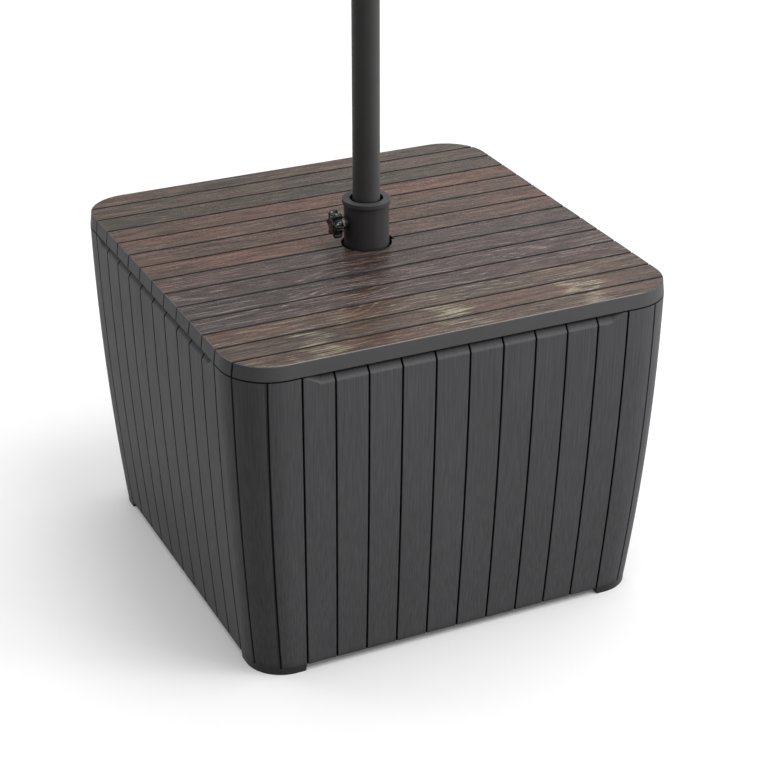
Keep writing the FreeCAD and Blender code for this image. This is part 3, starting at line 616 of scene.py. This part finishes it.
def make_hex_nut():
    """Hexagon nut with a bore eased at both ends; its origin is the middle of its upper face."""
    tree, given, result = new_shape("hex_nut", ["Flats", "Height", "Bore Radius"])
    low = negative(tree, given["Height"])
    bore = given["Bore Radius"]
    ease = times(tree, bore, 0.16)
    mouth = plus(tree, bore, ease)
    past = times(tree, given["Height"], 0.2)
    under = minus(tree, low, past)
    profile = [(0.0, under), (mouth, under), (mouth, low), (bore, plus(tree, low, ease)),
               (bore, negative(tree, ease)), (mouth, 0.0), (mouth, past), (0.0, past)]
    nut = carved(tree, "DIFFERENCE", hex_block(tree, given["Flats"], low, 0.0), turned(tree, profile, 32))
    end_shape(tree, at_spots(tree, given, nut), given, result)
    return tree


def make_washer():
    """Flat washer with eased rims; its origin is the middle of its upper face."""
    tree, given, result = new_shape("flat_washer", ["Outer Radius", "Inner Radius", "Height"])
    low = negative(tree, given["Height"])
    ease = times(tree, given["Height"], 0.2)
    outer, inner = given["Outer Radius"], given["Inner Radius"]
    narrow = minus(tree, outer, ease)
    shoulder = negative(tree, ease)
    foot = plus(tree, low, ease)
    profile = [(inner, low), (narrow, low), (outer, foot), (outer, shoulder), (narrow, 0.0), (inner, 0.0),
               (inner, low)]
    end_shape(tree, at_spots(tree, given, turned(tree, profile, 32)), given, result)
    return tree


def make_threaded_stud():
    """Stud with a helical thread, its tip at the spot and its length along the spot's aim."""
    sizes = ["Radius", "Length", "Pitch", "Thread Depth"]
    tree, given, result = new_shape("threaded_stud", sizes)
    rings = 200
    grid, ring, angle = ring_grid(tree, rings, 32)
    share = calc(tree, "DIVIDE", minus(tree, ring, 1.0), rings - 3.0, clamp=True)
    height = times(tree, share, given["Length"])
    turns = minus(tree, ratio(tree, height, given["Pitch"]), ratio(tree, angle, 2 * math.pi))
    flank = times(tree, calc(tree, "PINGPONG", turns, 0.5), 2.0)
    radius = minus(tree, given["Radius"], times(tree, flank, given["Thread Depth"]))
    end = calc(tree, "MINIMUM", height, minus(tree, given["Length"], height))
    core = minus(tree, given["Radius"], times(tree, given["Thread Depth"], 1.3))
    radius = calc(tree, "MINIMUM", radius, plus(tree, core, end))
    inside = times(tree, calc(tree, "GREATER_THAN", ring, 0.5),
                   calc(tree, "LESS_THAN", ring, rings - 1.5))
    stud = bent_round(tree, grid, angle, times(tree, radius, inside), height)
    end_shape(tree, at_spots(tree, given, stud), given, result)
    return tree


def make_star_knob():
    """Star knob with six rounded lobes; its origin is the middle of the hub's inner face."""
    sizes = ["Lobe Radius", "Scallop Centre", "Scallop Radius", "Hub Radius", "Hub Length", "Thickness",
             "Edge Round", "Socket Radius", "Socket Depth", "Cap Radius", "Cap Depth"]
    tree, given, result = new_shape("star_knob", sizes)
    hub, high = given["Hub Length"], plus(tree, given["Hub Length"], given["Thickness"])
    lip = minus(tree, high, given["Cap Depth"])
    edge = given["Edge Round"]
    socket, floor_of_socket = given["Socket Radius"], given["Socket Depth"]
    cap = given["Cap Radius"]
    rise, ease = 0.5 * mm, 0.3 * mm

    # Each ring: plain radius, share of the star outline, and height
    rings = [(0.0, 0.0, floor_of_socket), (socket, 0.0, floor_of_socket), (socket, 0.0, 0.0),
             (given["Hub Radius"], 0.0, 0.0), (given["Hub Radius"], 0.0, hub)]
    for degrees in (-90, -68, -45, -22, 0):
        inset = times(tree, edge, math.cos(math.radians(degrees)) - 1)
        up = times(tree, edge, 1 + math.sin(math.radians(degrees)))
        rings.append((inset, 1.0, plus(tree, hub, up)))
    for degrees in (0, 22, 45, 68, 90):
        inset = times(tree, edge, math.cos(math.radians(degrees)) - 1)
        down = times(tree, edge, 1 - math.sin(math.radians(degrees)))
        top = minus(tree, minus(tree, high, rise), down)
        rings.append((inset, 1.0, top))
    shoulder = plus(tree, cap, 1.2 * mm)
    rings += [(shoulder, 0.0, high), (plus(tree, cap, ease), 0.0, high),
              (cap, 0.0, minus(tree, high, ease)), (cap, 0.0, lip), (0.0, 0.0, lip)]

    grid, ring, angle = ring_grid(tree, len(rings), 120)
    sixth = math.pi / 3
    lobe = calc(tree, "ROUND", ratio(tree, angle, sixth))
    off = minus(tree, angle, times(tree, lobe, sixth))
    centre = given["Scallop Centre"]
    side = times(tree, centre, calc(tree, "SINE", off))
    reach = times(tree, given["Scallop Radius"], given["Scallop Radius"])
    left = minus(tree, reach, times(tree, side, side))
    root = calc(tree, "SQRT", calc(tree, "MAXIMUM", left, 0.0))
    hollow = minus(tree, times(tree, centre, calc(tree, "COSINE", off)), root)
    outline = calc(tree, "SMOOTH_MIN", hollow, given["Lobe Radius"], 2.4 * mm)
    radius = calc(tree, "MULTIPLY_ADD", looked_up(tree, ring, [b for a, b, z in rings]), outline,
                  looked_up(tree, ring, [a for a, b, z in rings]))
    knob = bent_round(tree, grid, angle, radius, looked_up(tree, ring, [z for a, b, z in rings]))
    end_shape(tree, at_spots(tree, given, knob), given, result)
    return tree


def make_domed_cap():
    """Push-in cap with a raised rim and a low dome; its origin is the middle of its inner face."""
    tree, given, result = new_shape("domed_cap", ["Radius", "Height"])
    radius, high = given["Radius"], given["Height"]

    def ring(radius_share, height_share):
        return times(tree, radius, radius_share), times(tree, high, height_share)

    rim = [(1.0, 0.0), (1.0, 0.70), (0.985, 0.88), (0.94, 0.98), (0.89, 1.0), (0.85, 0.96), (0.82, 0.86)]
    dome = [(0.70, 0.84), (0.50, 0.90), (0.28, 0.94)]
    profile = [(0.0, 0.0), *[ring(r, z) for r, z in rim + dome], (0.0, ring(0, 0.95)[1])]
    end_shape(tree, at_spots(tree, given, turned(tree, profile, 48)), given, result)
    return tree


def prism(tree, face, offset):
    """Solid swept from a face along an offset on the side its normal points to."""
    inputs = {"Mesh": face, "Offset": offset, "Offset Scale": 1.0, "Individual": False}
    walls = add(tree, "GeometryNodeExtrudeMesh", inputs, mode="FACES").outputs[0]
    start = add(tree, "GeometryNodeFlipFaces", {"Mesh": face}).outputs[0]
    return merged(tree, joined(tree, walls, start), 1e-6)


def rounded_slab(tree, half, radius, low, high):
    """Flat slab whose outline is a square with rounded corners."""
    width = times(tree, half, 2.0)
    inputs = {"Width": width, "Height": width}
    square = add(tree, "GeometryNodeCurvePrimitiveQuadrilateral", inputs).outputs[0]
    inputs = {"Curve": square, "Radius": radius, "Count": 24}
    outline = add(tree, "GeometryNodeFilletCurve", inputs, mode="POLY").outputs[0]
    face = add(tree, "GeometryNodeFillCurve", {"Curve": outline}, mode="NGONS").outputs[0]
    inputs = {"Geometry": face, "Translation": vector_of(tree, 0.0, 0.0, low)}
    floor_face = add(tree, "GeometryNodeTransform", inputs).outputs[0]
    return prism(tree, floor_face, vector_of(tree, 0.0, 0.0, minus(tree, high, low)))


def groove_cutter(tree, width, depth, ease, far):
    """Bar along X whose section is a groove with rounded shoulders, its mouth at height 0."""
    wide = times(tree, width, 0.5)
    outer = plus(tree, wide, ease)
    middle = plus(tree, wide, times(tree, ease, 0.35))
    inner = minus(tree, wide, times(tree, ease, 0.2))
    slight = times(tree, ease, -0.18)
    steep = times(tree, ease, -0.75)
    right = [(0.0, negative(tree, depth)), (inner, steep), (middle, slight), (outer, 0.0), (outer, depth)]
    left = [(negative(tree, y), z) for y, z in reversed(right[1:])]
    section = left + right
    ring = add(tree, "GeometryNodeMeshCircle", {"Vertices": len(section)}, fill_type="NGON").outputs[0]
    index = add(tree, "GeometryNodeInputIndex").outputs[0]
    across = looked_up(tree, index, [y for y, z in section])
    height = looked_up(tree, index, [z for y, z in section])
    inputs = {"Geometry": ring, "Position": vector_of(tree, negative(tree, far), across, height)}
    face = add(tree, "GeometryNodeSetPosition", inputs).outputs[0]
    return prism(tree, face, vector_of(tree, times(tree, far, 2.0), 0.0, 0.0))


def groove_lines(tree, last, gain, height):
    """One point for each groove across the deck; the middle planks are a little wider."""
    count = 2 * grooves_each_way + 1
    number = minus(tree, add(tree, "GeometryNodeInputIndex").outputs[0], grooves_each_way)
    share = ratio(tree, calc(tree, "ABSOLUTE", number), grooves_each_way)
    spread = calc(tree, "MULTIPLY_ADD", minus(tree, 1.0, share), gain, 1.0)
    place = times(tree, times(tree, share, spread), last)
    place = times(tree, place, calc(tree, "SIGN", number))
    row = add(tree, "GeometryNodeMeshLine", {"Count": count}).outputs[0]
    inputs = {"Geometry": row, "Position": vector_of(tree, 0.0, place, height)}
    return add(tree, "GeometryNodeSetPosition", inputs).outputs[0]


def make_plank_deck():
    """Planks parted by eased grooves, in a rounded outline with the hole, its notch and the screw bosses."""
    sizes = ["Half Width", "Corner Radius", "Top", "Thickness", "Last Groove", "Middle Gain", "Groove Width",
             "Groove Depth", "Edge Ease", "Hole Radius", "Notch Reach", "Notch Width", "Boss Radius",
             "Boss Depth", "Boss Span"]
    tree, given, result = new_shape("plank_deck", sizes)
    half, top = given["Half Width"], given["Top"]
    low = minus(tree, top, given["Thickness"])
    slab = rounded_slab(tree, half, given["Corner Radius"], low, top)

    radius, foot = given["Boss Radius"], negative(tree, given["Boss Depth"])
    boss = turned(tree, [(0.0, foot), (radius, foot), (radius, boss_overlap), (0.0, boss_overlap)], 24)
    inputs = {"Size X": given["Boss Span"], "Size Y": given["Boss Span"],
              "Vertices X": bosses_each_way, "Vertices Y": bosses_each_way}
    grid = add(tree, "GeometryNodeMeshGrid", inputs).outputs[0]
    inputs = {"Geometry": grid, "Translation": vector_of(tree, 0.0, 0.0, low)}
    places = add(tree, "GeometryNodeTransform", inputs).outputs[0]
    bosses = add(tree, "GeometryNodeInstanceOnPoints", {"Points": places, "Instance": boss}).outputs[0]
    bosses = add(tree, "GeometryNodeRealizeInstances", {0: bosses}).outputs[0]
    body = carved(tree, "UNION", slab, bosses)

    far = times(tree, half, 1.05)
    cutter = groove_cutter(tree, given["Groove Width"], given["Groove Depth"], given["Edge Ease"], far)
    lines = groove_lines(tree, given["Last Groove"], given["Middle Gain"], top)
    grooves = add(tree, "GeometryNodeInstanceOnPoints", {"Points": lines, "Instance": cutter}).outputs[0]
    grooves = add(tree, "GeometryNodeRealizeInstances", {0: grooves}).outputs[0]
    over = plus(tree, top, given["Thickness"])
    under = minus(tree, low, given["Thickness"])
    radius = given["Hole Radius"]
    hole = turned(tree, [(0.0, under), (radius, under), (radius, over), (0.0, over)], 96)
    reach = given["Notch Reach"]
    size = vector_of(tree, reach, given["Notch Width"], times(tree, given["Thickness"], 3.0))
    middle = times(tree, plus(tree, low, top), 0.5)
    centre = vector_of(tree, times(tree, reach, 0.5), 0.0, middle)
    opening = carved(tree, "UNION", hole, block(tree, size, centre))
    deck = carved(tree, "DIFFERENCE", carved(tree, "DIFFERENCE", body, opening), grooves)
    end_shape(tree, deck, given, result)
    return tree


def solid_points(name):
    """Points of each solid in a CAD node."""
    copy = bmesh.new()
    copy.from_mesh(nodes[name].data)
    bmesh.ops.remove_doubles(copy, verts=copy.verts, dist=1e-6)
    left = set(copy.verts)
    solids = []
    while left:
        found = [left.pop()]
        for vertex in found:
            near = {edge.other_vert(vertex) for edge in vertex.link_edges} & left
            left -= near
            found.extend(near)
        solids.append([v.co.copy() for v in found])
    copy.free()
    return solids


def end_spots(name, aim_of):
    """Middle of the end face of each solid in a CAD node on the side that its aim points to, with the aim."""
    spots = []
    for points in solid_points(name):
        middle = sum(points, Vector()) / len(points)
        aim = Vector(aim_of(middle))
        furthest = max(p.dot(aim) for p in points)
        ends = [p for p in points if furthest - p.dot(aim) < 1e-5]
        spots.append((sum(ends, Vector()) / len(ends), aim))
    return sorted(spots, key=lambda spot: tuple(spot[0]))


def dress(name, tree, sizes, finish, spots, body, node):
    """Piece that a shape tree makes at the spots; it rides on a body and stands for a CAD node."""
    mesh = bpy.data.meshes.new(name)
    mesh.from_pydata([place for place, aim in spots], [], [])
    aims = mesh.attributes.new("aim", "FLOAT_VECTOR", "POINT")
    for row, (place, aim) in zip(aims.data, spots):
        row.vector = aim
    piece = bpy.data.objects.new(name, mesh)
    scene.collection.objects.link(piece)
    modifier = piece.modifiers.new("shape", "NODES")
    modifier.node_group = tree
    for item in tree.interface.items_tree:
        if item.in_out == "INPUT" and item.name in sizes:
            modifier[item.identifier] = sizes[item.name]
        elif item.name == "Finish":
            modifier[item.identifier] = finish
    graph = bpy.context.evaluated_depsgraph_get()
    shaped = bpy.data.meshes.new_from_object(piece.evaluated_get(graph))
    piece.modifiers.remove(modifier)
    piece.data = shaped
    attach(piece, body)
    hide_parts(node)


def dress_lid():
    sizes = {"Half Width": deck_reach, "Corner Radius": deck_corner_radius, "Top": lid_top,
             "Thickness": deck_thickness, **groove_rows, "Groove Width": groove_width,
             "Groove Depth": groove_depth, "Edge Ease": plank_edge_ease, "Hole Radius": hole_radius,
             "Notch Reach": notch_reach, "Notch Width": notch_width, "Boss Radius": boss_radius,
             "Boss Depth": boss_depth, "Boss Span": boss_span}
    dress("plank_deck", make_plank_deck(), sizes, finishes["lid_deck"], [], "lid", "lid_deck")


def up(middle):
    return 0, 0, 1


def down(middle):
    return 0, 0, -1


def outward(middle):
    return -1, 0, 0


def along_seam(middle):
    """Direction of the seam screws' heads at the corner nearest to a point."""
    quarter = round((math.atan2(middle.y, middle.x) + 3 * math.pi / 4) / (math.pi / 2))
    turn = quarter * math.pi / 2 - seam_turn
    return math.cos(turn), math.sin(turn), 0


def dress_screws():
    pan_screw = make_pan_screw()
    rows = [("tray_screws", up, 4.2, 8.5, "base"), ("foot_screws", down, 4.2, 9.5, "base"),
            ("seam_screws", along_seam, 4.2, 8.0, "base"), ("deck_screws", down, 7.5, 6.0, "lid")]
    for node, aim_of, head_radius, length, body in rows:
        sizes = {"Head Radius": head_radius * mm, "Head Height": 2.5 * mm, "Shank Radius": 2.0 * mm,
                 "Shank Length": length * mm, "Cross Width": 1.0 * mm, "Cross Depth": 1.3 * mm}
        spots = end_spots(node, aim_of)
        dress("pan_" + node, pan_screw, sizes, zinc_steel, spots, body, node)


def dress_flange_bolts():
    sizes = {"Flats": hex_flats, "Head Height": 5.3 * mm, "Shank Radius": 4.0 * mm, "Shank Length": 18.6 * mm}
    spots = end_spots("flange_bolts", up)
    dress("hex_bolts", make_hex_bolt(), sizes, zinc_steel, spots, "base", "flange_bolts")
    sizes = {"Outer Radius": 8.0 * mm, "Inner Radius": 4.3 * mm, "Height": 1.6 * mm}
    spots = end_spots("flange_washers", up)
    dress("flat_washers", make_washer(), sizes, zinc_steel, spots, "base", "flange_washers")


def dress_nuts():
    hex_nut = make_hex_nut()
    sizes = {"Flats": hex_flats, "Height": 6.5 * mm, "Bore Radius": 4.15 * mm}
    spots = end_spots("flange_nuts", down)
    dress("hex_nuts", hex_nut, sizes, zinc_steel, spots, "base", "flange_nuts")
    sizes = {"Flats": hex_flats, "Height": 4.0 * mm, "Bore Radius": 4.3 * mm}
    spots = end_spots("clamp_nut", outward)
    dress("jam_nut", hex_nut, sizes, zinc_steel, spots, "base", "clamp_nut")


def dress_clamp():
    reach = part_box("clamp_stud")
    sizes = {"Radius": stud_radius, "Length": reach[1].x - reach[0].x, "Pitch": thread_pitch,
             "Thread Depth": 0.65 * mm}
    aim = Vector((-1, 0, 0))
    spot = Vector((reach[1].x, 0, clamp_height))
    dress("threaded_stud", make_threaded_stud(), sizes, zinc_steel, [(spot, aim)], "clamp_screw",
          "clamp_stud")
    sizes = {"Lobe Radius": 18.5 * mm, "Scallop Centre": 20.5 * mm, "Scallop Radius": 7.5 * mm,
             "Hub Radius": 8.5 * mm, "Hub Length": 0.5 * mm, "Thickness": 12.0 * mm, "Edge Round": 3.0 * mm,
             "Socket Radius": 4.05 * mm, "Socket Depth": 6.05 * mm, "Cap Radius": 8.15 * mm,
             "Cap Depth": 1.5 * mm}
    spot = Vector((-knob_back, 0, clamp_height))
    dress("lobed_knob", make_star_knob(), sizes, finishes["star_knob"], [(spot, aim)], "knob", "star_knob")
    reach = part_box("knob_cap")
    sizes = {"Radius": 8.0 * mm, "Height": reach[1].x - reach[0].x}
    spot = Vector((reach[1].x, 0, clamp_height))
    dress("domed_cap", make_domed_cap(), sizes, finishes["knob_cap"], [(spot, aim)], "knob", "knob_cap")


dress_lid()
dress_screws()
dress_flange_bolts()
dress_nuts()
dress_clamp()


def make_floor():
    """Pale studio floor, paler far away; it looks pale to the camera and in reflections alone, and throws
    little light back on the table."""
    material = bpy.data.materials.new("studio_floor")
    material.use_nodes = True
    tree = material.node_tree
    tree.nodes.clear()
    path = add(tree, "ShaderNodeLightPath").outputs
    seen = calc(tree, "MAXIMUM", path["Is Camera Ray"], path["Is Glossy Ray"])
    seen = calc(tree, "MAXIMUM", seen, path["Is Transmission Ray"])
    place = add(tree, "ShaderNodeTexCoord").outputs["Object"]
    speckle = noise(tree, place, 40.0)
    pale = ramp(tree, speckle, [(0.0, (0.85, 0.85, 0.85)), (1.0, (0.87, 0.87, 0.87))])
    colour = mixed(tree, seen, grey(0.12), pale)
    diffuse = add(tree, "ShaderNodeBsdfDiffuse", {"Color": colour}).outputs[0]
    away = add(tree, "ShaderNodeVectorMath", {0: place}, operation="LENGTH").outputs["Value"]
    pallor = times(tree, seen, ranged(tree, away, 1.2, 4.0, 0.09, 0.40))
    glow = add(tree, "ShaderNodeEmission", {"Color": (1, 1, 1, 1), "Strength": pallor})
    both = add(tree, "ShaderNodeAddShader", {0: diffuse, 1: glow.outputs[0]}).outputs[0]
    add(tree, "ShaderNodeOutputMaterial", {"Surface": both})
    mesh = bpy.data.meshes.new("studio_floor")
    corners = [(x * floor_reach, y * floor_reach, 0) for x, y in ((-1, -1), (1, -1), (1, 1), (-1, 1))]
    mesh.from_pydata(corners, [], [(0, 1, 2, 3)])
    mesh.materials.append(material)
    floor = bpy.data.objects.new("studio_floor", mesh)
    scene.collection.objects.link(floor)


def make_world():
    """Soft white surround, brightest from the right and from above, with a white skyline behind the floor."""
    world = bpy.data.worlds.new("studio")
    scene.world = world
    world.use_nodes = True
    tree = world.node_tree
    tree.nodes.clear()
    way = add(tree, "ShaderNodeTexCoord").outputs["Generated"]
    rise = add(tree, "ShaderNodeSeparateXYZ", {0: way}).outputs["Z"]
    right = ranged(tree, vector_calc(tree, "DOT_PRODUCT", way, (0.52, -0.28, 0.81)), -0.15, 1.0, 0.0, 0.58)
    left = ranged(tree, vector_calc(tree, "DOT_PRODUCT", way, (-0.90, 0.30, 0.30)), 0.3, 1.0, 0.0, 0.08)
    sky = ranged(tree, rise, 0.1, 1.0, 0.05, 0.92)
    near_corner = vector_calc(tree, "DOT_PRODUCT", way, (-0.62, -0.68, 0.40))
    flag = ranged(tree, near_corner, 0.45, 1.0, 1.0, 0.32)
    strength = times(tree, plus(tree, plus(tree, right, left), sky), flag)
    path = add(tree, "ShaderNodeLightPath").outputs
    backdrop = times(tree, path["Is Camera Ray"], ranged(tree, rise, 0.30, 0.80, 1.0, 0.0))
    mirrored = calc(tree, "MAXIMUM", path["Is Glossy Ray"], path["Is Transmission Ray"])
    mirrored = times(tree, mirrored, ranged(tree, rise, 0.02, 0.14, 1.0, 0.0))
    skyline = calc(tree, "MAXIMUM", backdrop, mirrored)
    strength = calc(tree, "MULTIPLY_ADD", skyline, minus(tree, 1.0, strength), strength)
    light = add(tree, "ShaderNodeBackground", {"Color": (1, 1, 1, 1), "Strength": strength}).outputs[0]
    add(tree, "ShaderNodeOutputWorld", {"Surface": light})


def add_lamp(name, place, target, size, power, spread=180.0, mirrored=True):
    """Round soft lamp out of the camera's sight; one that isn't mirrored leaves no highlight."""
    data = bpy.data.lights.new(name, "AREA")
    data.spread = math.radians(spread)
    data.shape = "DISK"
    data.size = size
    data.energy = power
    lamp = bpy.data.objects.new(name, data)
    lamp.visible_camera = False
    lamp.visible_glossy = mirrored
    lamp.location = place
    lamp.rotation_euler = (Vector(target) - Vector(place)).to_track_quat("-Z", "Y").to_euler()
    scene.collection.objects.link(lamp)


def make_camera():
    data = bpy.data.cameras.new("photo_camera")
    data.lens = camera_lens
    data.sensor_width = sensor_width
    camera = bpy.data.objects.new("photo_camera", data)
    camera.location = camera_place
    camera.rotation_euler = [math.radians(a) for a in camera_turn]
    scene.collection.objects.link(camera)
    scene.camera = camera


make_camera()
make_floor()
make_world()
add_lamp("key", (0.45, -0.75, 3.2), (0.0, 0.0, 0.3), 1.15, 19.0)
add_lamp("glint", (0.9, -1.8, 2.1), (0.0, 0.0, 0.45), 0.10, 3.2)
add_lamp("pole_side", (2.0, -0.3, 1.05), (0.0, 0.0, 0.62), 0.3, 0.5, 20.0, mirrored=False)
add_lamp("front_right", (1.1, -1.2, 1.3), (0.15, -0.25, 0.25), 0.6, 8.2)
add_lamp("deck_sheen", (1.0, 1.2, 1.1), (0.1, 0.0, 0.43), 0.9, 0.6)
add_lamp("rear_fill", (0.6, 2.6, 1.3), (0.0, 0.0, 0.25), 1.2, 6.0, mirrored=False)
add_lamp("left_fill", (-2.0, 1.6, 1.3), (0.0, 0.0, 0.25), 1.2, 10.5, mirrored=False)
scene.view_settings.view_transform = "Standard"
